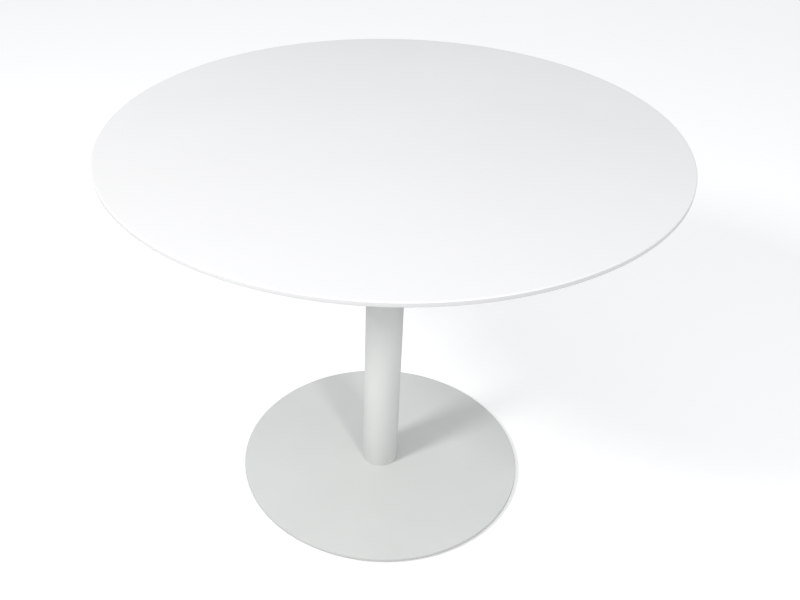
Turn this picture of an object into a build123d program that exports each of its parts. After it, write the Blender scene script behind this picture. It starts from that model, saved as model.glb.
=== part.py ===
from build123d import *
import os
from math import cos, pi, radians, sin, tan

# Round pedestal table: a lacquered board top on one steel column and a flat steel disc base.
#
# The table bolts together. A threaded tie rod runs up the middle of the column: it screws into a hub
# on the base plate and pulls the top plate down onto the column, so the tube is clamped between the
# two plates. Six levelling glides screw into blind holes in the underside of the base plate. Each
# glide is a threaded stem whose flange turns inside a plastic pad that stays still on the floor.
#
# Frame: millimetres, +Z up, origin on the floor on the table's axis.

# ---------------------------------------------------------------- driving dimensions
TABLE_HEIGHT = 750.0
TOP_DIAMETER = 1000.0
TOP_THICKNESS = 22.0
TOP_EDGE_BAND = 8.0          # height of the upright part of the top's edge
TOP_BEVEL_WIDTH = 46.0       # how far the underside bevel runs in from the edge
TOP_ARRIS = 1.6              # small rounding of the top's upper edge
TOP_LOWER_ARRIS = 1.0        # rounding where the edge meets the bevel

BASE_DIAMETER = 580.0
BASE_THICKNESS = 6.0
BASE_ARRIS = 1.2             # rounding of the base plate's upper edge
FLOOR_GAP = 5.0              # underside of the base plate above the floor

TUBE_DIAMETER = 73.0
TUBE_WALL = 2.5

TOP_PLATE_DIAMETER = 320.0
TOP_PLATE_THICKNESS = 6.0
TOP_PLATE_CHAMFER = 1.0

LOWER_HUB_HEIGHT = 30.0
UPPER_HUB_HEIGHT = 12.0
HUB_CLEARANCE = 0.05         # radial play of each hub inside the tube
HUB_CHAMFER = 1.0
HUB_BOLT_CIRCLE = 44.0       # both hubs' screws sit on this circle

ROD_DIAMETER = 10.0          # M10 tie rod
THREAD_PLAY = 0.05           # radial play of a thread drawn as a plain cylinder
ROD_IN_HUB = 20.0
ROD_ABOVE_NUT = 1.3
ROD_CHAMFER = 0.8
ROD_HOLE_DIAMETER = 10.5
WASHER_DIAMETER = 20.0
WASHER_THICKNESS = 2.0
LOCK_WASHER_DIAMETER = 18.0
LOCK_WASHER_THICKNESS = 2.2
LOCK_WASHER_SLIT = 2.0
LOCK_WASHER_SLANT = 25.0     # lean of the slit, in degrees
NUT_ACROSS_FLATS = 16.0
NUT_HEIGHT = 8.0
NUT_FACE_CIRCLE = 15.5       # the chamfer leaves this circle flat on each face of the nut
NUT_CHAMFER_ANGLE = 30.0
NUT_POCKET_DIAMETER = 36.0   # pocket in the underside of the top that clears the nut
NUT_POCKET_CLEARANCE = 1.0

TOP_SCREW_COUNT = 8
TOP_SCREW_CIRCLE = 280.0
TOP_SCREW_DIAMETER = 6.0
TOP_SCREW_REACH = 10.0       # length of screw above the top plate
TOP_SCREW_HOLE = 7.0
BUTTON_HEAD_DIAMETER = 10.5
BUTTON_HEAD_HEIGHT = 3.3
BUTTON_HEAD_SOCKET = 4.0
BUTTON_HEAD_SOCKET_DEPTH = 2.0
INSERT_DIAMETER = 10.0
INSERT_LENGTH = 13.0
INSERT_COLLAR_DIAMETER = 12.0
INSERT_COLLAR_HEIGHT = 1.0

BASE_SCREW_COUNT = 4
BASE_SCREW_DIAMETER = 8.0
BASE_SCREW_LENGTH = 25.0
BASE_SCREW_HEAD = 16.0
BASE_SCREW_SOCKET = 5.0
HUB_SCREW_COUNT = 3
HUB_SCREW_DIAMETER = 6.0
HUB_SCREW_LENGTH = 14.0
HUB_SCREW_HEAD = 11.5
HUB_SCREW_SOCKET = 4.0
COUNTERSUNK_RIM = 0.4        # upright rim of a countersunk head
COUNTERSUNK_SOCKET_DEPTH = 2.2
COUNTERSINK_ANGLE = 45.0     # side slope of a 90 degree countersunk head
HEAD_RECESS = 0.2            # how far countersunk heads sit below the surface
HEAD_PLAY = 0.15             # radial play of a countersunk head in its seat
TAP_EXTRA_DEPTH = 2.0        # a tapped hole is this much deeper than its screw

GLIDE_COUNT = 6
GLIDE_CIRCLE = 490.0
GLIDE_THREAD = 8.0           # M8 x 1 fine thread
GLIDE_PAD_DIAMETER = 34.0
GLIDE_PAD_GAP = 0.3          # pad below the base plate when screwed right in
GLIDE_PAD_FLOOR = 1.4        # pad material under the stem's flange
GLIDE_PAD_ROUND = 1.2
GLIDE_PAD_LIP = 0.9          # lip that keeps the flange in the pad
GLIDE_PAD_MOUTH = 10.0       # hole in that lip
GLIDE_PAD_ACCESS = 7.0       # hole that lets a key reach the stem's socket
GLIDE_FLANGE_DIAMETER = 14.0
GLIDE_FLANGE_PLAY = 0.3      # clearance all round the flange inside the pad
GLIDE_SOCKET = 4.0
GLIDE_SOCKET_DEPTH = 4.0
GLIDE_STEM_CHAMFER = 0.8
GLIDE_STEM_IN_BASE = 4.4
GLIDE_TAP_DEPTH = 5.0

# ---------------------------------------------------------------- levels and radii worked out from them
PLATE_LOW = FLOOR_GAP
PLATE_HIGH = PLATE_LOW + BASE_THICKNESS
TOP_LOW = TABLE_HEIGHT - TOP_THICKNESS
TOP_PLATE_LOW = TOP_LOW - TOP_PLATE_THICKNESS
TUBE_RADIUS = TUBE_DIAMETER / 2
TUBE_INNER_RADIUS = TUBE_RADIUS - TUBE_WALL
HUB_RADIUS = TUBE_INNER_RADIUS - HUB_CLEARANCE
ROD_RADIUS = ROD_DIAMETER / 2
WASHER_HIGH = TOP_LOW + WASHER_THICKNESS
LOCK_WASHER_HIGH = WASHER_HIGH + LOCK_WASHER_THICKNESS
NUT_HIGH = LOCK_WASHER_HIGH + NUT_HEIGHT
ROD_LOW = PLATE_HIGH + LOWER_HUB_HEIGHT - ROD_IN_HUB
ROD_HIGH = NUT_HIGH + ROD_ABOVE_NUT
EPS = 0.5                    # overshoot that lets a cutter run clear of a face


def ring_of(count, circle, phase=0.0):
    """Centres spread evenly on a circle of that diameter, the first at angle phase from +X."""
    angles = [phase + 2 * pi * i / count for i in range(count)]
    return [(circle / 2 * cos(angle), circle / 2 * sin(angle)) for angle in angles]


def rod(radius, low, high, x=0.0, y=0.0):
    """Upright solid cylinder between two levels."""
    cylinder = Cylinder(radius, high - low, align=(Align.CENTER, Align.CENTER, Align.MIN))
    return Pos(x, y, low) * cylinder


def hexagon(across_flats, low, high, x=0.0, y=0.0):
    """Upright hexagonal prism between two levels."""
    corner_radius = across_flats / 2 / cos(pi / 6)
    prism = extrude(RegularPolygon(corner_radius, 6), high - low)
    return Pos(x, y, low) * prism


def turned(points):
    """Solid of revolution about +Z from a closed outline of (radius, height) points."""
    outline = make_face(Polyline([(r, 0, z) for r, z in points], close=True))
    return revolve(outline, Axis.Z)


def rim_edges(shape, radius, level):
    """The circular edges of a shape at one radius and level, for a fillet or chamfer."""
    def matches(edge):
        return (edge.geom_type == GeomType.CIRCLE
                and abs(edge.radius - radius) < 0.01
                and abs(edge.center().Z - level) < 0.01)
    return [edge for edge in shape.edges() if matches(edge)]


# ---------------------------------------------------------------- the top
def make_tabletop():
    """Round board with an upright edge, a bevelled underside and blind holes for its fittings."""
    radius = TOP_DIAMETER / 2
    bevel_level = TABLE_HEIGHT - TOP_EDGE_BAND
    board = turned([
        (0, TOP_LOW),
        (radius - TOP_BEVEL_WIDTH, TOP_LOW),
        (radius, bevel_level),
        (radius, TABLE_HEIGHT),
        (0, TABLE_HEIGHT),
    ])
    board = fillet(rim_edges(board, radius, TABLE_HEIGHT), TOP_ARRIS)
    board = fillet(rim_edges(board, radius, bevel_level), TOP_LOWER_ARRIS)
    board -= rod(NUT_POCKET_DIAMETER / 2, TOP_LOW - EPS, ROD_HIGH + NUT_POCKET_CLEARANCE)
    for x, y in ring_of(TOP_SCREW_COUNT, TOP_SCREW_CIRCLE):
        hole_radius = INSERT_DIAMETER / 2 + THREAD_PLAY
        board -= rod(hole_radius, TOP_LOW - EPS, TOP_LOW + INSERT_LENGTH + EPS, x, y)
        seat_radius = INSERT_COLLAR_DIAMETER / 2 + THREAD_PLAY
        board -= rod(seat_radius, TOP_LOW - EPS, TOP_LOW + INSERT_COLLAR_HEIGHT, x, y)
    return board


def make_tabletop_inserts():
    """Threaded sleeves set into the underside of the board, one for each screw."""
    bore_radius = TOP_SCREW_DIAMETER / 2 + THREAD_PLAY
    inserts = []
    for x, y in ring_of(TOP_SCREW_COUNT, TOP_SCREW_CIRCLE):
        sleeve = rod(INSERT_DIAMETER / 2, TOP_LOW, TOP_LOW + INSERT_LENGTH, x, y)
        sleeve += rod(INSERT_COLLAR_DIAMETER / 2, TOP_LOW, TOP_LOW + INSERT_COLLAR_HEIGHT, x, y)
        inserts.append(sleeve - rod(bore_radius, TOP_LOW - EPS, TOP_LOW + INSERT_LENGTH + EPS, x, y))
    return inserts


def make_top_screws():
    """Button-head screws that go up through the top plate into the inserts."""
    screws = []
    head_low = TOP_PLATE_LOW - BUTTON_HEAD_HEIGHT
    head_round = BUTTON_HEAD_HEIGHT * 0.6
    shank_radius = TOP_SCREW_DIAMETER / 2
    for x, y in ring_of(TOP_SCREW_COUNT, TOP_SCREW_CIRCLE):
        head = rod(BUTTON_HEAD_DIAMETER / 2, head_low, TOP_PLATE_LOW, x, y)
        head = fillet(rim_edges(head, BUTTON_HEAD_DIAMETER / 2, head_low), head_round)
        shank = rod(shank_radius, TOP_PLATE_LOW, TOP_LOW + TOP_SCREW_REACH, x, y)
        socket = hexagon(BUTTON_HEAD_SOCKET, head_low - EPS, head_low + BUTTON_HEAD_SOCKET_DEPTH, x, y)
        screws.append(head + shank - socket)
    return screws


# ---------------------------------------------------------------- countersunk screws and their seats
def countersunk_screw(diameter, length, head_diameter, socket):
    """Countersunk socket screw along +Z, with the flat of its head at the origin."""
    shank_radius = diameter / 2 - THREAD_PLAY
    head_radius = head_diameter / 2
    cone_height = (head_radius - shank_radius) / tan(radians(COUNTERSINK_ANGLE))
    screw = turned([
        (0, 0),
        (head_radius, 0),
        (head_radius, COUNTERSUNK_RIM),
        (shank_radius, COUNTERSUNK_RIM + cone_height),
        (shank_radius, length),
        (0, length),
    ])
    return screw - hexagon(socket, -EPS, COUNTERSUNK_SOCKET_DEPTH)


def countersunk_seat(diameter, length, head_diameter):
    """Cutter for that screw: clearance hole, conical seat and a mouth that runs clear of the plate."""
    hole_radius = diameter / 2 + THREAD_PLAY
    head_radius = head_diameter / 2 + HEAD_PLAY
    cone_height = (head_radius - hole_radius) / tan(radians(COUNTERSINK_ANGLE))
    return turned([
        (0, -EPS),
        (head_radius, -EPS),
        (head_radius, COUNTERSUNK_RIM),
        (hole_radius, COUNTERSUNK_RIM + cone_height),
        (hole_radius, length + TAP_EXTRA_DEPTH),
        (0, length + TAP_EXTRA_DEPTH),
    ])


def base_screw_places():
    """Each base screw points up from just inside the underside of the base plate."""
    centres = ring_of(BASE_SCREW_COUNT, HUB_BOLT_CIRCLE, pi / 4)
    return [Pos(x, y, PLATE_LOW + HEAD_RECESS) for x, y in centres]


def hub_screw_places():
    """Each hub screw points down from just inside the upper face of the top plate."""
    centres = ring_of(HUB_SCREW_COUNT, HUB_BOLT_CIRCLE)
    return [Pos(x, y, TOP_LOW - HEAD_RECESS) * Rot(180, 0, 0) for x, y in centres]


def make_base_screws():
    screw = countersunk_screw(BASE_SCREW_DIAMETER, BASE_SCREW_LENGTH, BASE_SCREW_HEAD, BASE_SCREW_SOCKET)
    return [place * screw for place in base_screw_places()]


def make_hub_screws():
    screw = countersunk_screw(HUB_SCREW_DIAMETER, HUB_SCREW_LENGTH, HUB_SCREW_HEAD, HUB_SCREW_SOCKET)
    return [place * screw for place in hub_screw_places()]


# ---------------------------------------------------------------- the steel under the top
def make_top_plate():
    """Round plate that the board is screwed to and that the tie rod pulls down on the column."""
    plate = rod(TOP_PLATE_DIAMETER / 2, TOP_PLATE_LOW, TOP_LOW)
    plate = chamfer(rim_edges(plate, TOP_PLATE_DIAMETER / 2, TOP_PLATE_LOW), TOP_PLATE_CHAMFER)
    plate -= rod(ROD_HOLE_DIAMETER / 2, TOP_PLATE_LOW - EPS, TOP_LOW + EPS)
    for x, y in ring_of(TOP_SCREW_COUNT, TOP_SCREW_CIRCLE):
        plate -= rod(TOP_SCREW_HOLE / 2, TOP_PLATE_LOW - EPS, TOP_LOW + EPS, x, y)
    seat = countersunk_seat(HUB_SCREW_DIAMETER, HUB_SCREW_LENGTH, HUB_SCREW_HEAD)
    for place in hub_screw_places():
        plate -= place * seat
    return plate


def make_upper_hub():
    """Disc under the top plate that centres it in the tube."""
    low = TOP_PLATE_LOW - UPPER_HUB_HEIGHT
    hub = rod(HUB_RADIUS, low, TOP_PLATE_LOW)
    hub = chamfer(rim_edges(hub, HUB_RADIUS, low), HUB_CHAMFER)
    hub -= rod(ROD_HOLE_DIAMETER / 2, low - EPS, TOP_PLATE_LOW + EPS)
    seat = countersunk_seat(HUB_SCREW_DIAMETER, HUB_SCREW_LENGTH, HUB_SCREW_HEAD)
    for place in hub_screw_places():
        hub -= place * seat
    return hub


def make_tie_rod():
    """Threaded rod from the lower hub to just above the nut."""
    bar = rod(ROD_RADIUS, ROD_LOW, ROD_HIGH)
    return chamfer(bar.edges().filter_by(GeomType.CIRCLE), ROD_CHAMFER)


def make_tie_rod_washer():
    """Flat washer on the top plate."""
    disc = rod(WASHER_DIAMETER / 2, TOP_LOW, WASHER_HIGH)
    return disc - rod(ROD_HOLE_DIAMETER / 2, TOP_LOW - EPS, WASHER_HIGH + EPS)


def make_tie_rod_lock_washer():
    """Split spring washer, pressed flat by the nut, with its slanting slit on the +X side."""
    ring = rod(LOCK_WASHER_DIAMETER / 2, WASHER_HIGH, LOCK_WASHER_HIGH)
    ring -= rod(ROD_HOLE_DIAMETER / 2, WASHER_HIGH - EPS, LOCK_WASHER_HIGH + EPS)
    slit = Box(
        LOCK_WASHER_DIAMETER,
        LOCK_WASHER_SLIT,
        LOCK_WASHER_THICKNESS + 4 * EPS,
        align=(Align.MIN, Align.CENTER, Align.CENTER),
    )
    middle = (WASHER_HIGH + LOCK_WASHER_HIGH) / 2
    return ring - Pos(0, 0, middle) * Rot(LOCK_WASHER_SLANT, 0, 0) * slit


def make_tie_rod_nut():
    """Hexagon nut with its corners chamfered by a cone at each face."""
    nut = hexagon(NUT_ACROSS_FLATS, LOCK_WASHER_HIGH, NUT_HIGH)
    corner_radius = NUT_ACROSS_FLATS / 2 / cos(pi / 6)
    flat_radius = NUT_FACE_CIRCLE / 2
    drop = (corner_radius - flat_radius) * tan(radians(NUT_CHAMFER_ANGLE))
    blank = turned([
        (0, LOCK_WASHER_HIGH),
        (flat_radius, LOCK_WASHER_HIGH),
        (corner_radius, LOCK_WASHER_HIGH + drop),
        (corner_radius, NUT_HIGH - drop),
        (flat_radius, NUT_HIGH),
        (0, NUT_HIGH),
    ])
    return (nut & blank) - rod(ROD_RADIUS + THREAD_PLAY, LOCK_WASHER_HIGH - EPS, NUT_HIGH + EPS)


# ---------------------------------------------------------------- column and base
def make_column_tube():
    """Steel tube that stands on the base plate and carries the top plate."""
    tube = rod(TUBE_RADIUS, PLATE_HIGH, TOP_PLATE_LOW)
    return tube - rod(TUBE_INNER_RADIUS, PLATE_HIGH - EPS, TOP_PLATE_LOW + EPS)


def make_lower_hub():
    """Solid plug that is screwed to the base plate, centres the tube and takes the tie rod."""
    high = PLATE_HIGH + LOWER_HUB_HEIGHT
    hub = rod(HUB_RADIUS, PLATE_HIGH, high)
    hub = chamfer(rim_edges(hub, HUB_RADIUS, high), HUB_CHAMFER)
    hub -= rod(ROD_RADIUS + THREAD_PLAY, ROD_LOW - TAP_EXTRA_DEPTH, high + EPS)
    seat = countersunk_seat(BASE_SCREW_DIAMETER, BASE_SCREW_LENGTH, BASE_SCREW_HEAD)
    for place in base_screw_places():
        hub -= place * seat
    return hub


def make_base_plate():
    """Flat steel disc with countersunk holes for the hub and blind tapped holes for the glides."""
    radius = BASE_DIAMETER / 2
    plate = rod(radius, PLATE_LOW, PLATE_HIGH)
    plate = fillet(rim_edges(plate, radius, PLATE_HIGH), BASE_ARRIS)
    plate = chamfer(rim_edges(plate, radius, PLATE_LOW), BASE_ARRIS / 2)
    seat = countersunk_seat(BASE_SCREW_DIAMETER, BASE_SCREW_LENGTH, BASE_SCREW_HEAD)
    for place in base_screw_places():
        plate -= place * seat
    for x, y in ring_of(GLIDE_COUNT, GLIDE_CIRCLE):
        plate -= rod(GLIDE_THREAD / 2 + THREAD_PLAY, PLATE_LOW - EPS, PLATE_LOW + GLIDE_TAP_DEPTH, x, y)
    return plate


# ---------------------------------------------------------------- levelling glides
def make_glide_pad(x, y):
    """Plastic foot that stays still on the floor while the stem turns in it."""
    high = PLATE_LOW - GLIDE_PAD_GAP
    flange_pocket = GLIDE_FLANGE_DIAMETER / 2 + GLIDE_FLANGE_PLAY
    pad = rod(GLIDE_PAD_DIAMETER / 2, 0, high)
    pad = fillet(rim_edges(pad, GLIDE_PAD_DIAMETER / 2, 0), GLIDE_PAD_ROUND)
    pad = chamfer(rim_edges(pad, GLIDE_PAD_DIAMETER / 2, high), GLIDE_PAD_ROUND / 2)
    pad -= rod(GLIDE_PAD_ACCESS / 2, -EPS, high + EPS)
    pad -= rod(flange_pocket, GLIDE_PAD_FLOOR, high - GLIDE_PAD_LIP)
    pad -= rod(GLIDE_PAD_MOUTH / 2, GLIDE_PAD_FLOOR, high + EPS)
    return Pos(x, y, 0) * pad


def make_glide_stem(x, y):
    """Threaded stem with a flange that turns inside the pad and a socket for a hexagon key."""
    flange_low = GLIDE_PAD_FLOOR + GLIDE_FLANGE_PLAY
    flange_high = PLATE_LOW - GLIDE_PAD_GAP - GLIDE_PAD_LIP - GLIDE_FLANGE_PLAY
    stem_high = PLATE_LOW + GLIDE_STEM_IN_BASE
    stem = rod(GLIDE_THREAD / 2, flange_low, stem_high)
    stem = chamfer(rim_edges(stem, GLIDE_THREAD / 2, stem_high), GLIDE_STEM_CHAMFER)
    stem += rod(GLIDE_FLANGE_DIAMETER / 2, flange_low, flange_high)
    stem -= hexagon(GLIDE_SOCKET, flange_low - EPS, flange_low + GLIDE_SOCKET_DEPTH)
    return Pos(x, y, 0) * stem


# ---------------------------------------------------------------- write one file for each node
def main():
    nodes = {
        "tabletop": [make_tabletop()],
        "tabletop_inserts": make_tabletop_inserts(),
        "top_screws": make_top_screws(),
        "top_plate": [make_top_plate()],
        "upper_hub": [make_upper_hub()],
        "hub_screws": make_hub_screws(),
        "tie_rod": [make_tie_rod()],
        "tie_rod_washer": [make_tie_rod_washer()],
        "tie_rod_lock_washer": [make_tie_rod_lock_washer()],
        "tie_rod_nut": [make_tie_rod_nut()],
        "column_tube": [make_column_tube()],
        "lower_hub": [make_lower_hub()],
        "base_plate": [make_base_plate()],
        "base_screws": make_base_screws(),
    }
    for number, (x, y) in enumerate(ring_of(GLIDE_COUNT, GLIDE_CIRCLE), start=1):
        nodes[f"glide_pad_{number}"] = [make_glide_pad(x, y)]
        nodes[f"glide_stem_{number}"] = [make_glide_stem(x, y)]

    os.makedirs("parts", exist_ok=True)
    for name, pieces in nodes.items():
        solids = [solid for piece in pieces for solid in piece.solids()]
        shape = solids[0] if len(solids) == 1 else Compound(solids)
        export_step(shape, f"parts/{name}.step")
        volume = sum(solid.volume for solid in solids)
        print(f"{name}: {len(solids)} solids, {volume / 1000:.2f} cm3")


main()
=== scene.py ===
import math

import bmesh
import bpy
from mathutils import Matrix, Vector


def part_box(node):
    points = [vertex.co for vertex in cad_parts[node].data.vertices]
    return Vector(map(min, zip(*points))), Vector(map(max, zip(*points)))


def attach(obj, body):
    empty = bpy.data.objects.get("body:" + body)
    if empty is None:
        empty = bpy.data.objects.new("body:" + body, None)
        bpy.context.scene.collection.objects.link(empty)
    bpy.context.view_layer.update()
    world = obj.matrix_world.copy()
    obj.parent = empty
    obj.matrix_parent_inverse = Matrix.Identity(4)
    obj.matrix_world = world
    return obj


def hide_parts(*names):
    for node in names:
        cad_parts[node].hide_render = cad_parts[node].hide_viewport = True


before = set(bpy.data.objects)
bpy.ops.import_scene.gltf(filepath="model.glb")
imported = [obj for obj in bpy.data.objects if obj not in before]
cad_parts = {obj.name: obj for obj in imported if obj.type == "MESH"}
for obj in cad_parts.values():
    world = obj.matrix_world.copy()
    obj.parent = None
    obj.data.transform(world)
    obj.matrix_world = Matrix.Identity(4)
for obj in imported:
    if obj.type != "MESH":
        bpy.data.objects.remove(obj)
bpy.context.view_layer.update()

mm = 0.001
near = 0.01 * mm         # faces and edges this close to a level belong to it


# small helpers for modelling with the ordinary tools

def deselectAll():
    if bpy.context.object and bpy.context.object.mode != "OBJECT":
        bpy.ops.object.mode_set(mode="OBJECT")
    bpy.ops.object.select_all(action="DESELECT")


def makeActive(piece):
    deselectAll()
    piece.select_set(True)
    bpy.context.view_layer.objects.active = piece


def namePiece(name):
    piece = bpy.context.object
    piece.name = name
    piece.data.name = name
    return piece


def addDrum(name, radius, low, high, x=0.0, y=0.0, sides=64, caps="NGON"):
    deselectAll()
    bpy.ops.mesh.primitive_cylinder_add(vertices=sides, radius=radius, depth=high - low, end_fill_type=caps,
                                        location=(x, y, (low + high) / 2))
    return namePiece(name)


def addCone(name, lowRadius, highRadius, low, high, x=0.0, y=0.0, sides=40):
    deselectAll()
    bpy.ops.mesh.primitive_cone_add(vertices=sides, radius1=lowRadius, radius2=highRadius, depth=high - low,
                                    location=(x, y, (low + high) / 2))
    return namePiece(name)


def bakePlace(piece):
    # puts the object at the origin, with its place in its mesh
    makeActive(piece)
    bpy.ops.object.transform_apply(location=True, rotation=True, scale=True)


def startEdit(piece, pickMode):
    makeActive(piece)
    bpy.ops.object.mode_set(mode="EDIT")
    bpy.ops.mesh.select_mode(type=pickMode)
    bpy.ops.mesh.select_all(action="DESELECT")


def endEdit():
    bpy.ops.object.mode_set(mode="OBJECT")


def pickFaces(piece, test):
    mesh = bmesh.from_edit_mesh(piece.data)
    for face in mesh.faces:
        face.select_set(test(face))
    mesh.select_flush_mode()
    bmesh.update_edit_mesh(piece.data)


def pickEdges(piece, test):
    mesh = bmesh.from_edit_mesh(piece.data)
    for edge in mesh.edges:
        edge.select_set(test(edge))
    mesh.select_flush_mode()
    bmesh.update_edit_mesh(piece.data)


def facesUp(level):
    return lambda face: face.normal.z > 0.9 and abs(face.calc_center_median().z - level) < near


def facesDown(level):
    return lambda face: face.normal.z < -0.9 and abs(face.calc_center_median().z - level) < near


def ringEdges(radius, level):
    # the edges of one circle about the axis, found by radius and height
    def test(edge):
        for corner in edge.verts:
            if abs(corner.co.z - level) > near or abs(corner.co.xy.length - radius) > 2 * near:
                return False
        return True
    return test


def bevelRing(piece, radius, level, width, steps):
    startEdit(piece, "EDGE")
    pickEdges(piece, ringEdges(radius, level))
    bpy.ops.mesh.bevel(offset=width, offset_type="OFFSET", segments=steps, profile=0.5, affect="EDGES")
    endEdit()


def cutWith(piece, cutters):
    # takes the cutters out of the piece, all at once
    for cutter in cutters:
        bakePlace(cutter)
    makeActive(cutters[0])
    for cutter in cutters[1:]:
        cutter.select_set(True)
    if len(cutters) > 1:
        bpy.ops.object.join()
    tool = bpy.context.object
    makeActive(piece)
    change = piece.modifiers.new("cut", "BOOLEAN")
    change.operation = "DIFFERENCE"
    change.solver = "EXACT"
    change.object = tool
    bpy.ops.object.modifier_apply(modifier="cut")
    bpy.data.objects.remove(tool)


def ringPoints(count, radius, phase=0.0):
    turns = [phase + 2 * math.pi * step / count for step in range(count)]
    return [(radius * math.cos(turn), radius * math.sin(turn)) for turn in turns]


def addSeatCutter(holeRadius, headRadius, holeEnd, coneEnd, headStart, mouthEnd, x, y, sides=40):
    # a countersunk hole in one piece: a cone between a straight hole and a straight mouth
    low, high = min(coneEnd, headStart), max(coneEnd, headStart)
    headUp = headStart > coneEnd
    radii = (holeRadius, headRadius) if headUp else (headRadius, holeRadius)
    cutter = addCone("seat", *radii, low, high, x, y, sides)
    bakePlace(cutter)
    lowEnd, highEnd = (holeEnd, mouthEnd) if headUp else (mouthEnd, holeEnd)
    startEdit(cutter, "FACE")
    pickFaces(cutter, facesUp(high))
    bpy.ops.mesh.extrude_region_move(TRANSFORM_OT_translate={"value": (0, 0, highEnd - high)})
    pickFaces(cutter, facesDown(low))
    bpy.ops.mesh.extrude_region_move(TRANSFORM_OT_translate={"value": (0, 0, lowEnd - low)})
    endEdit()
    return cutter


def insetFace(piece, pick, steps):
    # rings of faces inside a flat round face, so that its shading stays flat up to the rim
    startEdit(piece, "FACE")
    pickFaces(piece, pick)
    for width in steps:
        bpy.ops.mesh.inset(thickness=width, use_even_offset=True)
    endEdit()


def smoothPiece(piece, angle=35):
    makeActive(piece)
    bpy.ops.object.shade_smooth_by_angle(angle=math.radians(angle))


def dressPiece(piece, body, node, material):
    piece.data.materials.clear()
    piece.data.materials.append(material)
    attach(piece, body)
    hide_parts(node)


# node groups shared by the materials

def newGroup(name, inputs, outputs):
    group = bpy.data.node_groups.new(name, "ShaderNodeTree")
    for label, kind, value in inputs:
        socket = group.interface.new_socket(name=label, in_out="INPUT", socket_type=kind)
        if value is not None:
            socket.default_value = value
    for label, kind in outputs:
        group.interface.new_socket(name=label, in_out="OUTPUT", socket_type=kind)
    start = group.nodes.new("NodeGroupInput")
    end = group.nodes.new("NodeGroupOutput")
    return group, start, end


def addNode(tree, kind, **settings):
    node = tree.nodes.new(kind)
    for key, value in settings.items():
        setattr(node, key, value)
    return node


def addMath(tree, operation, first, second=None, clamp=False):
    node = addNode(tree, "ShaderNodeMath", operation=operation, use_clamp=clamp)
    for index, value in enumerate((first, second)):
        if value is None:
            continue
        if isinstance(value, (int, float)):
            node.inputs[index].default_value = value
        else:
            tree.links.new(value, node.inputs[index])
    return node.outputs[0]


def addNoise(tree, vector, scale, detail=2.0, roughness=0.5):
    node = addNode(tree, "ShaderNodeTexNoise")
    for key, value in (("Scale", scale), ("Detail", detail), ("Roughness", roughness)):
        if isinstance(value, (int, float)):
            node.inputs[key].default_value = value
        else:
            tree.links.new(value, node.inputs[key])
    tree.links.new(vector, node.inputs["Vector"])
    return node.outputs["Fac"]


def addRange(tree, value, low, high, newLow=0.0, newHigh=1.0, smooth=True):
    node = addNode(tree, "ShaderNodeMapRange", interpolation_type="SMOOTHSTEP" if smooth else "LINEAR")
    tree.links.new(value, node.inputs["Value"])
    for key, number in (("From Min", low), ("From Max", high), ("To Min", newLow), ("To Max", newHigh)):
        if isinstance(number, (int, float)):
            node.inputs[key].default_value = number
        else:
            tree.links.new(number, node.inputs[key])
    return node.outputs["Result"]


def addMix(tree, factor, first, second):
    node = addNode(tree, "ShaderNodeMix", data_type="RGBA")
    slots = {"Factor": node.inputs[0], "A": node.inputs[6], "B": node.inputs[7]}
    for key, value in (("Factor", factor), ("A", first), ("B", second)):
        if isinstance(value, (int, float)):
            slots[key].default_value = value
        elif isinstance(value, (tuple, list)):
            slots[key].default_value = (*value, 1.0) if len(value) == 3 else value
        else:
            tree.links.new(value, slots[key])
    return node.outputs[2]


def buildSprayFinish():
    # height of a sprayed or powdered film: broad orange peel, fine grit and a few specks of dust
    group, start, end = newGroup(
        "sprayFinish",
        [("Vector", "NodeSocketVector", None), ("Peel Scale", "NodeSocketFloat", 250.0),
         ("Peel Amount", "NodeSocketFloat", 0.5), ("Grit Scale", "NodeSocketFloat", 2000.0),
         ("Grit Amount", "NodeSocketFloat", 0.5), ("Speck Amount", "NodeSocketFloat", 0.2)],
        [("Height", "NodeSocketFloat"), ("Specks", "NodeSocketFloat"), ("Patches", "NodeSocketFloat")])
    vector = start.outputs["Vector"]
    peel = addNoise(group, vector, start.outputs["Peel Scale"], 1.5, 0.45)
    grit = addNoise(group, vector, start.outputs["Grit Scale"], 2.0, 0.6)
    speckCells = addNode(group, "ShaderNodeTexVoronoi", feature="F1")
    speckCells.inputs["Scale"].default_value = 60.0
    group.links.new(vector, speckCells.inputs["Vector"])
    specks = addRange(group, speckCells.outputs["Distance"], 0.035, 0.02)
    patches = addNoise(group, vector, 3.5, 4.0, 0.55)
    height = addMath(group, "MULTIPLY", peel, start.outputs["Peel Amount"])
    fine = addMath(group, "MULTIPLY", grit, start.outputs["Grit Amount"])
    raised = addMath(group, "MULTIPLY", specks, start.outputs["Speck Amount"])
    height = addMath(group, "ADD", addMath(group, "ADD", height, fine), raised)
    group.links.new(height, end.inputs["Height"])
    group.links.new(specks, end.inputs["Specks"])
    group.links.new(patches, end.inputs["Patches"])
    return group


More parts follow.
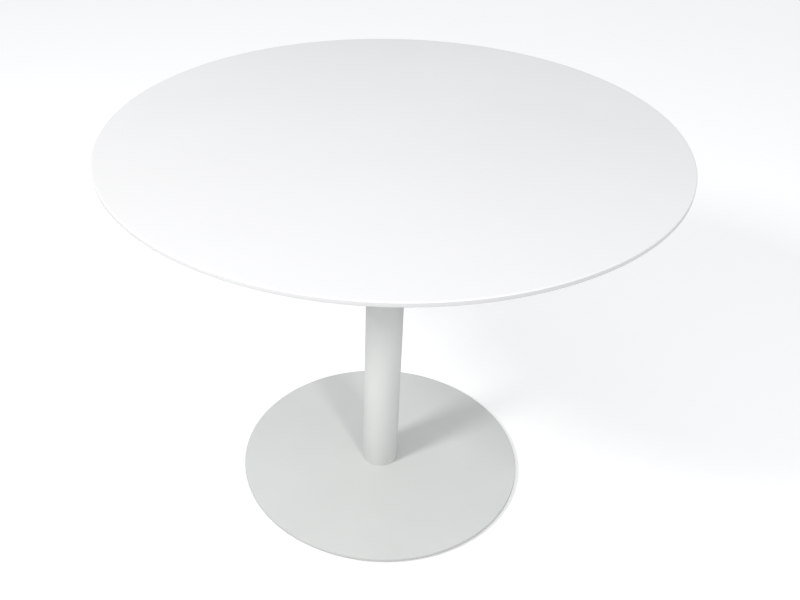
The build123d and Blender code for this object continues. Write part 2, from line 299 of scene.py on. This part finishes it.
def buildRubMarks():
    # faint hairline scratches that run every way, and soft cleaning smears
    group, start, end = newGroup(
        "rubMarks",
        [("Vector", "NodeSocketVector", None), ("Scale", "NodeSocketFloat", 9.0),
         ("Width", "NodeSocketFloat", 0.012), ("Smear Scale", "NodeSocketFloat", 5.0)],
        [("Scratches", "NodeSocketFloat"), ("Smears", "NodeSocketFloat")])
    total = None
    for turn, stretch in ((0.3, 14.0), (1.45, 11.0), (2.4, 17.0)):
        place = addNode(group, "ShaderNodeMapping")
        place.inputs["Rotation"].default_value = (0, 0, turn)
        place.inputs["Scale"].default_value = (1.0, stretch, stretch)
        group.links.new(start.outputs["Vector"], place.inputs["Vector"])
        lines = addNoise(group, place.outputs["Vector"], start.outputs["Scale"], 3.0, 0.5)
        offCentre = addMath(group, "ABSOLUTE", addMath(group, "SUBTRACT", lines, 0.5))
        mark = addRange(group, offCentre, start.outputs["Width"], 0.0)
        total = mark if total is None else addMath(group, "MAXIMUM", total, mark)
    breaks = addNoise(group, start.outputs["Vector"], 6.0, 2.0, 0.5)
    total = addMath(group, "MULTIPLY", total, addRange(group, breaks, 0.52, 0.66))
    smears = addNoise(group, start.outputs["Vector"], start.outputs["Smear Scale"], 5.0, 0.62)
    group.links.new(total, end.inputs["Scratches"])
    group.links.new(addRange(group, smears, 0.35, 0.7), end.inputs["Smears"])
    return group


def buildRimZone():
    # a soft mask that rises towards a round piece's edge, with a ragged inner border
    group, start, end = newGroup(
        "rimZone",
        [("Vector", "NodeSocketVector", None), ("Radius", "NodeSocketFloat", 0.3),
         ("Width", "NodeSocketFloat", 0.003), ("Ragged", "NodeSocketFloat", 0.5),
         ("Noise Scale", "NodeSocketFloat", 220.0)],
        [("Mask", "NodeSocketFloat")])
    flat = addNode(group, "ShaderNodeVectorMath", operation="MULTIPLY")
    flat.inputs[1].default_value = (1, 1, 0)
    group.links.new(start.outputs["Vector"], flat.inputs[0])
    reach = addNode(group, "ShaderNodeVectorMath", operation="LENGTH")
    group.links.new(flat.outputs["Vector"], reach.inputs[0])
    inner = addMath(group, "SUBTRACT", start.outputs["Radius"], start.outputs["Width"])
    zone = addRange(group, reach.outputs["Value"], inner, start.outputs["Radius"])
    noise = addNoise(group, start.outputs["Vector"], start.outputs["Noise Scale"], 3.0, 0.6)
    ragged = addMath(group, "MULTIPLY", addMath(group, "SUBTRACT", noise, 0.5), start.outputs["Ragged"])
    mask = addMath(group, "MULTIPLY", zone, addMath(group, "ADD", ragged, 0.6), clamp=True)
    group.links.new(mask, end.inputs["Mask"])
    return group


sprayFinish = buildSprayFinish()
rubMarks = buildRubMarks()
rimZone = buildRimZone()
print("node groups built")


def startMaterial(name):
    material = bpy.data.materials.new(name)
    material.use_nodes = True
    tree = material.node_tree
    tree.nodes.clear()
    output = addNode(tree, "ShaderNodeOutputMaterial")
    shader = addNode(tree, "ShaderNodeBsdfPrincipled")
    tree.links.new(shader.outputs["BSDF"], output.inputs["Surface"])
    place = addNode(tree, "ShaderNodeTexCoord").outputs["Object"]
    return material, tree, shader, place


def useGroup(tree, group, place, **values):
    node = addNode(tree, "ShaderNodeGroup", node_tree=group)
    tree.links.new(place, node.inputs["Vector"])
    for key, value in values.items():
        node.inputs[key].default_value = value
    return node


def addBump(tree, shader, height, strength, distance):
    bump = addNode(tree, "ShaderNodeBump")
    bump.inputs["Strength"].default_value = strength
    bump.inputs["Distance"].default_value = distance
    tree.links.new(height, bump.inputs["Height"])
    tree.links.new(bump.outputs["Normal"], shader.inputs["Normal"])


def sprayValues(look):
    return {
        "Peel Scale": look["peelScale"],
        "Peel Amount": look["peelAmount"],
        "Grit Scale": look["gritScale"],
        "Grit Amount": look["gritAmount"],
        "Speck Amount": look["speckAmount"],
    }


def addCoatRoughness(tree, shader, rubs, look):
    # smears and scratches each dull the coat a little
    spread = addMath(tree, "MULTIPLY", rubs.outputs["Smears"], look["roughnessSpread"])
    marks = addMath(tree, "MULTIPLY", rubs.outputs["Scratches"], look["scratchRoughness"])
    rough = addMath(tree, "ADD", addMath(tree, "ADD", spread, marks), look["roughness"])
    tree.links.new(rough, shader.inputs["Roughness"])
    shader.inputs["IOR"].default_value = look["ior"]


def makeLacquer():
    look = {
        "white": (0.762, 0.762, 0.770),
        "warmWhite": (0.747, 0.745, 0.743),
        # painted shade for the upright rim, greyer than the face
        "paintedRimShade": (0.655, 0.660, 0.665),
        "rimShadeLow": 1.4 * mm,     # below the top's face
        "rimShadeFade": 0.4 * mm,
        "warmShare": 0.5,
        "roughness": 0.34,
        "roughnessSpread": 0.07,
        "scratchRoughness": 0.12,
        "scratchScale": 7.0,
        "scratchWidth": 0.006,
        "ior": 1.5,
        "peelScale": 190.0,
        "peelAmount": 1.0,
        "gritScale": 2600.0,
        "gritAmount": 0.08,
        "speckAmount": 0.5,
        "bumpStrength": 0.05,
        "bumpDepth": 0.6 * mm,
    }
    material, tree, shader, place = startMaterial("whiteLacquer")
    spray = useGroup(tree, sprayFinish, place, **sprayValues(look))
    rubs = useGroup(tree, rubMarks, place, Scale=look["scratchScale"], Width=look["scratchWidth"])
    tone = addRange(tree, spray.outputs["Patches"], 0.35, 0.65)
    warmth = addMath(tree, "MULTIPLY", tone, look["warmShare"])
    colour = addMix(tree, warmth, look["white"], look["warmWhite"])
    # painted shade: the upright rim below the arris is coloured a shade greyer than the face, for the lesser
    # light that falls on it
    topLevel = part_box("tabletop")[1].z
    spot = addNode(tree, "ShaderNodeSeparateXYZ")
    tree.links.new(place, spot.inputs["Vector"])
    rimShadeHigh = topLevel - look["rimShadeLow"]
    rimShadeMask = addRange(tree, spot.outputs["Z"], rimShadeHigh, rimShadeHigh - look["rimShadeFade"])
    colour = addMix(tree, rimShadeMask, colour, look["paintedRimShade"])
    tree.links.new(colour, shader.inputs["Base Color"])
    addCoatRoughness(tree, shader, rubs, look)
    addBump(tree, shader, spray.outputs["Height"], look["bumpStrength"], look["bumpDepth"])
    return material


def makePowderCoat(name, look):
    material, tree, shader, place = startMaterial(name)
    spray = useGroup(tree, sprayFinish, place, **sprayValues(look))
    rubs = useGroup(tree, rubMarks, place, Scale=look["scratchScale"], Width=look["scratchWidth"])
    edge = useGroup(tree, rimZone, place, Radius=look["edgeRadius"], Width=look["edgeWidth"])
    tone = addRange(tree, spray.outputs["Patches"], 0.3, 0.7)
    colour = addMix(tree, tone, look["light"], look["dark"])
    # edge wear and painted shade: the coat is darkened towards the plate's rim
    wearAndShade = addMath(tree, "MULTIPLY", edge.outputs["Mask"], look["edgeWearAndShade"])
    colour = addMix(tree, wearAndShade, colour, look["wornAndShaded"])
    dust = addMath(tree, "MULTIPLY", spray.outputs["Specks"], look["speckShare"])
    colour = addMix(tree, dust, colour, look["speck"])
    tree.links.new(colour, shader.inputs["Base Color"])
    addCoatRoughness(tree, shader, rubs, look)
    addBump(tree, shader, spray.outputs["Height"], look["bumpStrength"], look["bumpDepth"])
    return material


def makeMetal(name, look):
    material, tree, shader, place = startMaterial(name)
    rubs = useGroup(tree, rubMarks, place, Scale=look["scratchScale"], Width=look["scratchWidth"],
                    **{"Smear Scale": look["smearScale"]})
    cloud = addNoise(tree, place, look["cloudScale"], 4.0, 0.6)
    colour = addMix(tree, addRange(tree, cloud, 0.35, 0.65), look["bright"], look["dull"])
    tree.links.new(colour, shader.inputs["Base Color"])
    shader.inputs["Metallic"].default_value = 1.0
    spread = addMath(tree, "MULTIPLY", rubs.outputs["Smears"], look["roughnessSpread"])
    rough = addMath(tree, "ADD", spread, look["roughness"])
    tree.links.new(rough, shader.inputs["Roughness"])
    grooves = addNode(tree, "ShaderNodeMapping")
    grooves.inputs["Scale"].default_value = (1.0, 1.0, look["ringStretch"])
    tree.links.new(place, grooves.inputs["Vector"])
    turning = addNoise(tree, grooves.outputs["Vector"], look["ringScale"], 2.0, 0.5)
    addBump(tree, shader, turning, look["bumpStrength"], look["bumpDepth"])
    return material


def makeNylon():
    look = {
        "dark": (0.035, 0.035, 0.038),
        "light": (0.065, 0.065, 0.068),
        "scuffScale": 160.0,
        "roughness": 0.52,
        "scuffRoughness": 0.15,
        "peelScale": 700.0,
        "peelAmount": 0.3,
        "gritScale": 4500.0,
        "gritAmount": 0.8,
        "speckAmount": 0.0,
        "bumpStrength": 0.25,
        "bumpDepth": 0.3 * mm,
    }
    material, tree, shader, place = startMaterial("darkNylon")
    spray = useGroup(tree, sprayFinish, place, **sprayValues(look))
    scuffs = addNoise(tree, place, look["scuffScale"], 5.0, 0.65)
    colour = addMix(tree, addRange(tree, scuffs, 0.45, 0.7), look["dark"], look["light"])
    tree.links.new(colour, shader.inputs["Base Color"])
    rough = addRange(tree, scuffs, 0.4, 0.7, look["roughness"], look["roughness"] + look["scuffRoughness"])
    tree.links.new(rough, shader.inputs["Roughness"])
    addBump(tree, shader, spray.outputs["Height"], look["bumpStrength"], look["bumpDepth"])
    return material


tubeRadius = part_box("column_tube")[1].x
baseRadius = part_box("base_plate")[1].x
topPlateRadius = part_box("top_plate")[1].x

coatLook = {
    "light": (0.640, 0.656, 0.640),
    "dark": (0.615, 0.630, 0.614),
    # rim colour: partly wear, partly painted shade along the plate's edge
    "wornAndShaded": (0.40, 0.41, 0.41),
    "speck": (0.49, 0.50, 0.48),
    "speckShare": 0.25,
    "roughness": 0.42,
    "roughnessSpread": 0.12,
    "scratchRoughness": 0.1,
    "scratchScale": 8.0,
    "scratchWidth": 0.008,
    "ior": 1.5,
    "peelScale": 420.0,
    "peelAmount": 0.8,
    "gritScale": 1700.0,
    "gritAmount": 0.45,
    "speckAmount": 0.25,
    "bumpStrength": 0.16,
    "bumpDepth": 0.5 * mm,
    "edgeRadius": baseRadius,
    "edgeWidth": 1.8 * mm,
    "edgeWearAndShade": 0.8,
}
lacquer = makeLacquer()
baseCoat = makePowderCoat("basePowderCoat", coatLook)
# painted light: the column is a shade lighter than the base in the same powder coat, and its worn and shaded
# rim is set outside the tube, where nothing shows it
litColumnLook = {**coatLook, "light": (0.675, 0.692, 0.675), "dark": (0.655, 0.670, 0.654),
              "edgeRadius": 2 * tubeRadius, "edgeWidth": 1.0 * mm}
litColumnCoat = makePowderCoat("columnPowderCoatPaintedLight", litColumnLook)
plateCoat = makePowderCoat("topPlatePowderCoat", {**coatLook, "edgeRadius": topPlateRadius})
metalLook = {
    "roughnessSpread": 0.16,
    "scratchScale": 60.0,
    "scratchWidth": 0.03,
    "smearScale": 90.0,
    "ringScale": 700.0,
    "bumpDepth": 0.2 * mm,
}
zinc = makeMetal("zincPlate", {
    **metalLook, "bright": (0.72, 0.73, 0.74), "dull": (0.58, 0.59, 0.61), "roughness": 0.24,
    "cloudScale": 180.0, "ringStretch": 1.0, "bumpStrength": 0.05})
turnedSteel = makeMetal("turnedSteel", {
    **metalLook, "bright": (0.56, 0.55, 0.53), "dull": (0.42, 0.41, 0.40), "roughness": 0.3,
    "cloudScale": 40.0, "ringStretch": 6.0, "bumpStrength": 0.12})
brass = makeMetal("turnedBrass", {
    **metalLook, "bright": (0.80, 0.62, 0.30), "dull": (0.62, 0.45, 0.20), "roughness": 0.27,
    "cloudScale": 120.0, "ringStretch": 6.0, "bumpStrength": 0.1})
nylon = makeNylon()
print("materials built")


# the top: an upright rim with a soft upper arris, and a bevelled underside

def makeTabletop():
    low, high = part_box("tabletop")
    size = {
        "sides": 288,
        "radius": high.x,
        "rimHeight": 8 * mm,
        "bevelWidth": 46 * mm,
        "arris": 1.6 * mm,
        "lowerArris": 1.0 * mm,
        "pocketRadius": 18 * mm,
        "pocketDepth": 14.5 * mm,
        "innerRound": 4 * mm,        # where the bevel meets the flat underside
        "faceRings": (3 * mm, 60 * mm, 120 * mm, 120 * mm, 120 * mm),
        "insertCircle": 140 * mm,
        "insertCount": 8,
        "insertRadius": 5.05 * mm,
        "insertDepth": 13.5 * mm,
        "collarRadius": 6.05 * mm,
        "collarDepth": 1.0 * mm,
        "overshoot": 1.0 * mm,
    }
    rimLow = high.z - size["rimHeight"]
    top = addDrum("tabletop_board", size["radius"], rimLow, high.z, sides=size["sides"])
    bakePlace(top)
    startEdit(top, "FACE")
    pickFaces(top, facesDown(rimLow))
    bpy.ops.mesh.extrude_region_move(TRANSFORM_OT_translate={"value": (0, 0, low.z - rimLow)})
    shrink = (size["radius"] - size["bevelWidth"]) / size["radius"]
    bpy.ops.transform.resize(value=(shrink, shrink, 1), center_override=(0, 0, low.z))
    endEdit()
    bevelRing(top, size["radius"], high.z, size["arris"], 6)
    bevelRing(top, size["radius"], rimLow, size["lowerArris"], 4)
    bevelRing(top, size["radius"] - size["bevelWidth"], low.z, size["innerRound"], 4)
    insetFace(top, facesUp(high.z), size["faceRings"])
    below = low.z - size["overshoot"]
    cutters = [addDrum("pocket", size["pocketRadius"], below, low.z + size["pocketDepth"], sides=48)]
    for x, y in ringPoints(size["insertCount"], size["insertCircle"]):
        cutters.append(addDrum("hole", size["insertRadius"], below, low.z + size["insertDepth"], x, y, 32))
        seatLow = below - size["overshoot"] / 2
        cutters.append(addDrum("seat", size["collarRadius"], seatLow, low.z + size["collarDepth"], x, y, 32))
    cutWith(top, cutters)
    smoothPiece(top)
    dressPiece(top, "table", "tabletop", lacquer)


makeTabletop()
print("tabletop made")


# the base: a flat disc with an eased upper edge, drilled from beneath

def makeBasePlate():
    low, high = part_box("base_plate")
    size = {
        "sides": 256,
        "arris": 1.2 * mm,
        "lowerChamfer": 0.6 * mm,
        "faceRings": (2 * mm, 60 * mm, 80 * mm),
        "screwCount": 4,
        "screwCircle": 22 * mm,
        "screwSeat": 8.15 * mm,
        "screwHole": 4.05 * mm,
        "seatRim": 0.6 * mm,
        "glideCount": 6,
        "glideCircle": 245 * mm,
        "glideHole": 4.05 * mm,
        "glideDepth": 5.0 * mm,
    }
    plate = addDrum("base_disc", high.x, low.z, high.z, sides=size["sides"])
    bakePlace(plate)
    bevelRing(plate, high.x, high.z, size["arris"], 5)
    bevelRing(plate, high.x, low.z, size["lowerChamfer"], 2)
    insetFace(plate, facesUp(high.z), size["faceRings"])
    cutters = []
    coneTop = low.z + size["seatRim"] + size["screwSeat"] - size["screwHole"]
    for x, y in ringPoints(size["screwCount"], size["screwCircle"], math.pi / 4):
        cutters.append(addSeatCutter(size["screwHole"], size["screwSeat"], high.z + mm, coneTop,
                                     low.z + size["seatRim"], low.z - mm, x, y))
    for x, y in ringPoints(size["glideCount"], size["glideCircle"]):
        cutters.append(addDrum("tapped", size["glideHole"], low.z - mm, low.z + size["glideDepth"], x, y, 32))
    cutWith(plate, cutters)
    smoothPiece(plate)
    dressPiece(plate, "table", "base_plate", baseCoat)


# the column: one tube with its walls and eased ends

def makeColumn():
    low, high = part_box("column_tube")
    size = {"sides": 144, "wall": 2.5 * mm, "endEase": 0.4 * mm}
    tube = addDrum("column", high.x, low.z, high.z, sides=size["sides"], caps="NOTHING")
    bakePlace(tube)
    wall = tube.modifiers.new("wall", "SOLIDIFY")
    wall.thickness = size["wall"]
    wall.offset = -1
    wall.use_even_offset = True
    bpy.ops.object.modifier_apply(modifier="wall")
    bevelRing(tube, high.x, low.z, size["endEase"], 2)
    bevelRing(tube, high.x, high.z, size["endEase"], 2)
    smoothPiece(tube)
    dressPiece(tube, "table", "column_tube", litColumnCoat)


# the round steel plate under the board

def makeTopPlate():
    low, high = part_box("top_plate")
    size = {
        "sides": 192,
        "chamfer": 1.0 * mm,
        "faceRing": 2 * mm,
        "screwCount": 8,
        "screwCircle": 140 * mm,
        "screwHole": 3.5 * mm,
        "rodHole": 5.25 * mm,
        "hubScrewCount": 3,
        "hubCircle": 22 * mm,
        "hubSeat": 5.9 * mm,
        "hubHole": 3.05 * mm,
        "seatRim": 0.6 * mm,
    }
    plate = addDrum("top_plate_disc", high.x, low.z, high.z, sides=size["sides"])
    bakePlace(plate)
    bevelRing(plate, high.x, low.z, size["chamfer"], 2)
    insetFace(plate, facesDown(low.z), (size["faceRing"],))
    cutters = [addDrum("rod", size["rodHole"], low.z - mm, high.z + mm, sides=40)]
    for x, y in ringPoints(size["screwCount"], size["screwCircle"]):
        cutters.append(addDrum("hole", size["screwHole"], low.z - mm, high.z + mm, x, y, 32))
    coneLow = high.z - size["seatRim"] - (size["hubSeat"] - size["hubHole"])
    for x, y in ringPoints(size["hubScrewCount"], size["hubCircle"]):
        cutters.append(addSeatCutter(size["hubHole"], size["hubSeat"], low.z - mm, coneLow,
                                     high.z - size["seatRim"], high.z + mm, x, y, 32))
    cutWith(plate, cutters)
    smoothPiece(plate)
    dressPiece(plate, "table", "top_plate", plateCoat)


makeBasePlate()
makeColumn()
makeTopPlate()
print("base plate, column and top plate made")


# levelling glides: a moulded pad with a groove under its rim, and a threaded stem that turns in it

def makeGlidePad():
    low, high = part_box("glide_pad_1")
    size = {
        "radius": (high.x - low.x) / 2,
        "lowRound": 1.2 * mm,
        "highEase": 0.6 * mm,
        "rimWidth": 3.2 * mm,        # flat between the edge and the groove
        "grooveWidth": 1.1 * mm,
        "grooveDepth": 0.5 * mm,
        "accessHole": 3.5 * mm,
        "pocketRadius": 7.3 * mm,
        "pocketLow": 1.4 * mm,
        "pocketHigh": 3.8 * mm,
        "mouth": 5.0 * mm,
        "overlap": 0.2 * mm,         # the mouth's cutter starts this far down in the pocket
    }
    pad = addDrum("glide_pad_model", size["radius"], low.z, high.z, sides=72)
    bakePlace(pad)
    bevelRing(pad, size["radius"], low.z, size["lowRound"], 5)
    bevelRing(pad, size["radius"], high.z, size["highEase"], 2)
    grooveOuter = size["radius"] - size["lowRound"] - size["rimWidth"]
    grooveInner = grooveOuter - size["grooveWidth"]
    startEdit(pad, "FACE")
    pickFaces(pad, facesDown(low.z))
    bpy.ops.mesh.inset(thickness=size["rimWidth"], use_even_offset=True)
    bpy.ops.mesh.inset(thickness=size["grooveWidth"], use_even_offset=True)
    bpy.ops.mesh.select_all(action="DESELECT")

    def inGroove(face):
        reach = face.calc_center_median().xy.length
        return face.normal.z < -0.9 and grooveInner < reach < grooveOuter and len(face.verts) == 4
    pickFaces(pad, inGroove)
    bpy.ops.mesh.extrude_region_move(TRANSFORM_OT_translate={"value": (0, 0, size["grooveDepth"])})
    bpy.ops.mesh.select_all(action="SELECT")
    bpy.ops.mesh.normals_make_consistent(inside=False)
    endEdit()
    cutWith(pad, [addDrum("access", size["accessHole"], low.z - mm, size["pocketLow"] + mm, sides=32)])
    cutWith(pad, [addDrum("pocket", size["pocketRadius"], size["pocketLow"], size["pocketHigh"], sides=40)])
    mouthLow = size["pocketHigh"] - size["overlap"]
    cutWith(pad, [addDrum("mouth", size["mouth"], mouthLow, high.z + mm, sides=40)])
    smoothPiece(pad)
    return pad


def makeGlideStem():
    low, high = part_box("glide_stem_1")
    size = {
        "flangeRadius": 7.0 * mm,
        "flangeHigh": 3.5 * mm,
        "flangeEase": 0.25 * mm,
        "crest": 3.98 * mm,
        "root": 3.42 * mm,
        "pitch": 1.0 * mm,
        "endEase": 0.5 * mm,
        "pointBase": 4.0 * mm,
        "pointTip": 2.52 * mm,
        "socketRadius": 4.0 * mm / math.sqrt(3),
        "socketDepth": 4.0 * mm,
        "cutLevel": 0.4 * mm,        # the thread starts inside the flange
        "weld": 0.001 * mm,
        "sliver": 0.004 * mm,
        "planeSnap": 0.00001 * mm,
        "steps": 36,
    }
    # one pitch of the thread's outline, swept up the stem
    turns = math.ceil((high.z - low.z) / size["pitch"]) + 2
    start = low.z - size["pitch"]
    deselectAll()
    bpy.ops.mesh.primitive_plane_add(size=1, location=(0, 0, 0))
    stem = namePiece("glide_stem_model")
    startEdit(stem, "VERT")
    bpy.ops.mesh.select_all(action="SELECT")
    bpy.ops.mesh.merge(type="CENTER")
    bpy.ops.transform.translate(value=(size["root"], 0, start))
    # crest and root flats are 0.12 of the pitch, and each flank 0.38 of it
    for across, rise in ((0.0, 0.12), (1.0, 0.38), (0.0, 0.12), (-1.0, 0.38)):
        step = (across * (size["crest"] - size["root"]), 0, rise * size["pitch"])
        bpy.ops.mesh.extrude_region_move(TRANSFORM_OT_translate={"value": step})
    endEdit()
    sweep = stem.modifiers.new("sweep", "SCREW")
    sweep.axis = "Z"
    sweep.steps = size["steps"]
    sweep.render_steps = size["steps"]
    sweep.screw_offset = size["pitch"]
    sweep.iterations = turns
    sweep.use_merge_vertices = True
    sweep.merge_threshold = size["weld"]
    bpy.ops.object.modifier_apply(modifier="sweep")
    # cut square at both ends and closed
    for level, normal in ((high.z, (0, 0, 1)), (low.z + size["cutLevel"], (0, 0, -1))):
        startEdit(stem, "FACE")
        bpy.ops.mesh.select_all(action="SELECT")
        bpy.ops.mesh.remove_doubles(threshold=size["weld"])
        bpy.ops.mesh.bisect(plane_co=(0, 0, level), plane_no=normal, use_fill=True, clear_outer=True,
                            threshold=size["planeSnap"])
        endEdit()
    startEdit(stem, "FACE")
    bpy.ops.mesh.select_all(action="SELECT")
    bpy.ops.mesh.normals_make_consistent(inside=False)
    endEdit()
    flange = addDrum("flange", size["flangeRadius"], low.z, size["flangeHigh"], sides=56)
    bakePlace(flange)
    bevelRing(flange, size["flangeRadius"], low.z, size["flangeEase"], 2)
    bevelRing(flange, size["flangeRadius"], size["flangeHigh"], size["flangeEase"], 2)
    makeActive(stem)
    grow = stem.modifiers.new("grow", "BOOLEAN")
    grow.operation = "UNION"
    grow.solver = "EXACT"
    grow.object = flange
    bpy.ops.object.modifier_apply(modifier="grow")
    bpy.data.objects.remove(flange)
    # the end is turned down to a cone, and the key socket goes in from below
    coneLow = high.z - size["endEase"]
    collar = addDrum("collar", 2 * size["crest"], coneLow, high.z + mm, sides=40)
    bakePlace(collar)
    cutWith(collar, [addCone("point", size["pointBase"], size["pointTip"], coneLow, high.z + mm)])
    cutWith(stem, [collar])
    cutWith(stem, [addDrum("socket", size["socketRadius"], low.z - mm, low.z + size["socketDepth"], sides=6)])
    # slivers that the cuts leave are closed up
    startEdit(stem, "VERT")
    bpy.ops.mesh.select_all(action="SELECT")
    bpy.ops.mesh.remove_doubles(threshold=size["sliver"])
    bpy.ops.mesh.dissolve_degenerate(threshold=size["sliver"])
    endEdit()
    smoothPiece(stem, 30)
    return stem


def copyTo(model, name, x, y):
    makeActive(model)
    bpy.ops.object.duplicate(linked=False)
    piece = namePiece(name)
    piece.location = (x, y, 0)
    bakePlace(piece)
    return piece


padModel = makeGlidePad()
stemModel = makeGlideStem()
for glide in range(1, 7):
    low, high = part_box(f"glide_stem_{glide}")
    x, y = (low.x + high.x) / 2, (low.y + high.y) / 2
    pad = copyTo(padModel, f"glide_pad_moulding_{glide}", x, y)
    dressPiece(pad, f"pad_{glide}", f"glide_pad_{glide}", nylon)
    stem = copyTo(stemModel, f"glide_stem_thread_{glide}", x, y)
    dressPiece(stem, f"stem_{glide}", f"glide_stem_{glide}", zinc)
for model in (padModel, stemModel):
    bpy.data.objects.remove(model)
print("glides made")

# carried-over nodes take the materials of this file

nodeMaterials = {
    "top_screws": zinc,
    "hub_screws": zinc,
    "base_screws": zinc,
    "tie_rod": zinc,
    "tie_rod_washer": zinc,
    "tie_rod_lock_washer": zinc,
    "tie_rod_nut": zinc,
    "tabletop_inserts": brass,
    "upper_hub": turnedSteel,
    "lower_hub": turnedSteel,
}
for nodeName, material in nodeMaterials.items():
    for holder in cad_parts[nodeName].material_slots:
        holder.material = material
print("materials given to", len(nodeMaterials), "carried-over nodes")


# floor, light and camera

def makeFloor():
    look = {
        "size": 60.0,
        "drop": 0.2 * mm,            # below the pads, so that the faces don't meet
        "colour": (0.82, 0.82, 0.818),
        "roughness": 0.8,
        "sheen": 0.1,
        "glow": 0.28,
    }
    deselectAll()
    bpy.ops.mesh.primitive_plane_add(size=look["size"], location=(0, 0, -look["drop"]))
    floor = namePiece("studioFloor")
    bakePlace(floor)
    material, tree, shader, place = startMaterial("studioPaper")
    cloud = addNoise(tree, place, 2.0, 3.0, 0.5)
    shade = tuple(0.985 * part for part in look["colour"])
    colour = addMix(tree, cloud, look["colour"], shade)
    tree.links.new(colour, shader.inputs["Base Color"])
    shader.inputs["Roughness"].default_value = look["roughness"]
    shader.inputs["Specular IOR Level"].default_value = look["sheen"]
    shader.inputs["Emission Color"].default_value = (1, 1, 1, 1)
    # the paper looks evenly lit but throws no extra light on the table
    seen = addNode(tree, "ShaderNodeLightPath").outputs["Is Camera Ray"]
    tree.links.new(addMath(tree, "MULTIPLY", seen, look["glow"]), shader.inputs["Emission Strength"])
    floor.data.materials.append(material)


def addSoftbox(name, azimuth, elevation, distance, side, power, colour):
    # azimuth is where the light stands, in degrees from +X, as seen from a point up the column
    target = Vector((0, 0, 0.4))
    turn, rise = math.radians(azimuth), math.radians(elevation)
    away = Vector((math.cos(turn) * math.cos(rise), math.sin(turn) * math.cos(rise), math.sin(rise)))
    data = bpy.data.lights.new(name, "AREA")
    data.shape = "RECTANGLE"
    data.size = side
    data.size_y = side
    data.energy = power
    data.color = colour
    lamp = bpy.data.objects.new(name, data)
    bpy.context.scene.collection.objects.link(lamp)
    lamp.location = target + away * distance
    lamp.rotation_euler = (-away).to_track_quat("-Z", "Y").to_euler()


def makeLights():
    look = {"overhead": (0.81, 0.83, 0.85), "front": (0.55, 0.555, 0.555), "back": (0.29, 0.295, 0.305)}
    softboxes = {
        "keyLight": {"azimuth": 216, "elevation": 41, "distance": 3.8, "side": 0.65, "power": 76,
                     "colour": (1.0, 0.985, 0.96)},
        "fillLight": {"azimuth": 295, "elevation": 39, "distance": 3.8, "side": 0.45, "power": 36,
                      "colour": (1.0, 0.99, 0.975)},
    }
    world = bpy.data.worlds.new("studioSky")
    world.use_nodes = True
    tree = world.node_tree
    sky = tree.nodes["Background"]
    direction = addNode(tree, "ShaderNodeSeparateXYZ")
    tree.links.new(addNode(tree, "ShaderNodeTexCoord").outputs["Generated"], direction.inputs["Vector"])
    height = addRange(tree, direction.outputs["Z"], 0.0, 1.0, smooth=False)
    depth = addRange(tree, direction.outputs["Y"], -0.9, 0.3)
    sides = addMix(tree, depth, look["front"], look["back"])
    tree.links.new(addMix(tree, height, sides, look["overhead"]), sky.inputs["Color"])
    bpy.context.scene.world = world
    for name, softbox in softboxes.items():
        addSoftbox(name, **softbox)


def makeCamera():
    lens = {
        "focal": 42.06,
        "sensor": 36.0,
        "shiftX": 0.0735,
        "shiftY": 0.025,
        "back": 1.4814,      # metres in front of the column's axis
        "height": 1.4200,
        "tiltDown": 35.46,   # degrees
        "panLeft": 3.25,
        "roll": 0.07,
    }
    pitch, yaw, roll = (math.radians(lens[key]) for key in ("tiltDown", "panLeft", "roll"))
    ahead = Vector((-math.sin(yaw) * math.cos(pitch), math.cos(yaw) * math.cos(pitch), -math.sin(pitch)))
    right = Vector((math.cos(yaw), math.sin(yaw), 0))
    up = right.cross(ahead)
    rolledRight = math.cos(roll) * right + math.sin(roll) * up
    rolledUp = math.cos(roll) * up - math.sin(roll) * right
    data = bpy.data.cameras.new("productCamera")
    data.sensor_fit = "HORIZONTAL"
    data.sensor_width = lens["sensor"]
    data.lens = lens["focal"]
    data.shift_x = lens["shiftX"]
    data.shift_y = lens["shiftY"]
    data.clip_start = 0.01
    camera = bpy.data.objects.new("productCamera", data)
    bpy.context.scene.collection.objects.link(camera)
    turn = Matrix((rolledRight, rolledUp, -ahead)).transposed().to_4x4()
    camera.matrix_world = Matrix.Translation((0, -lens["back"], lens["height"])) @ turn
    bpy.context.scene.camera = camera


makeFloor()
makeLights()
makeCamera()
bpy.context.scene.view_settings.view_transform = "Standard"
bpy.context.scene.view_settings.look = "None"
print("floor, lights and camera placed")
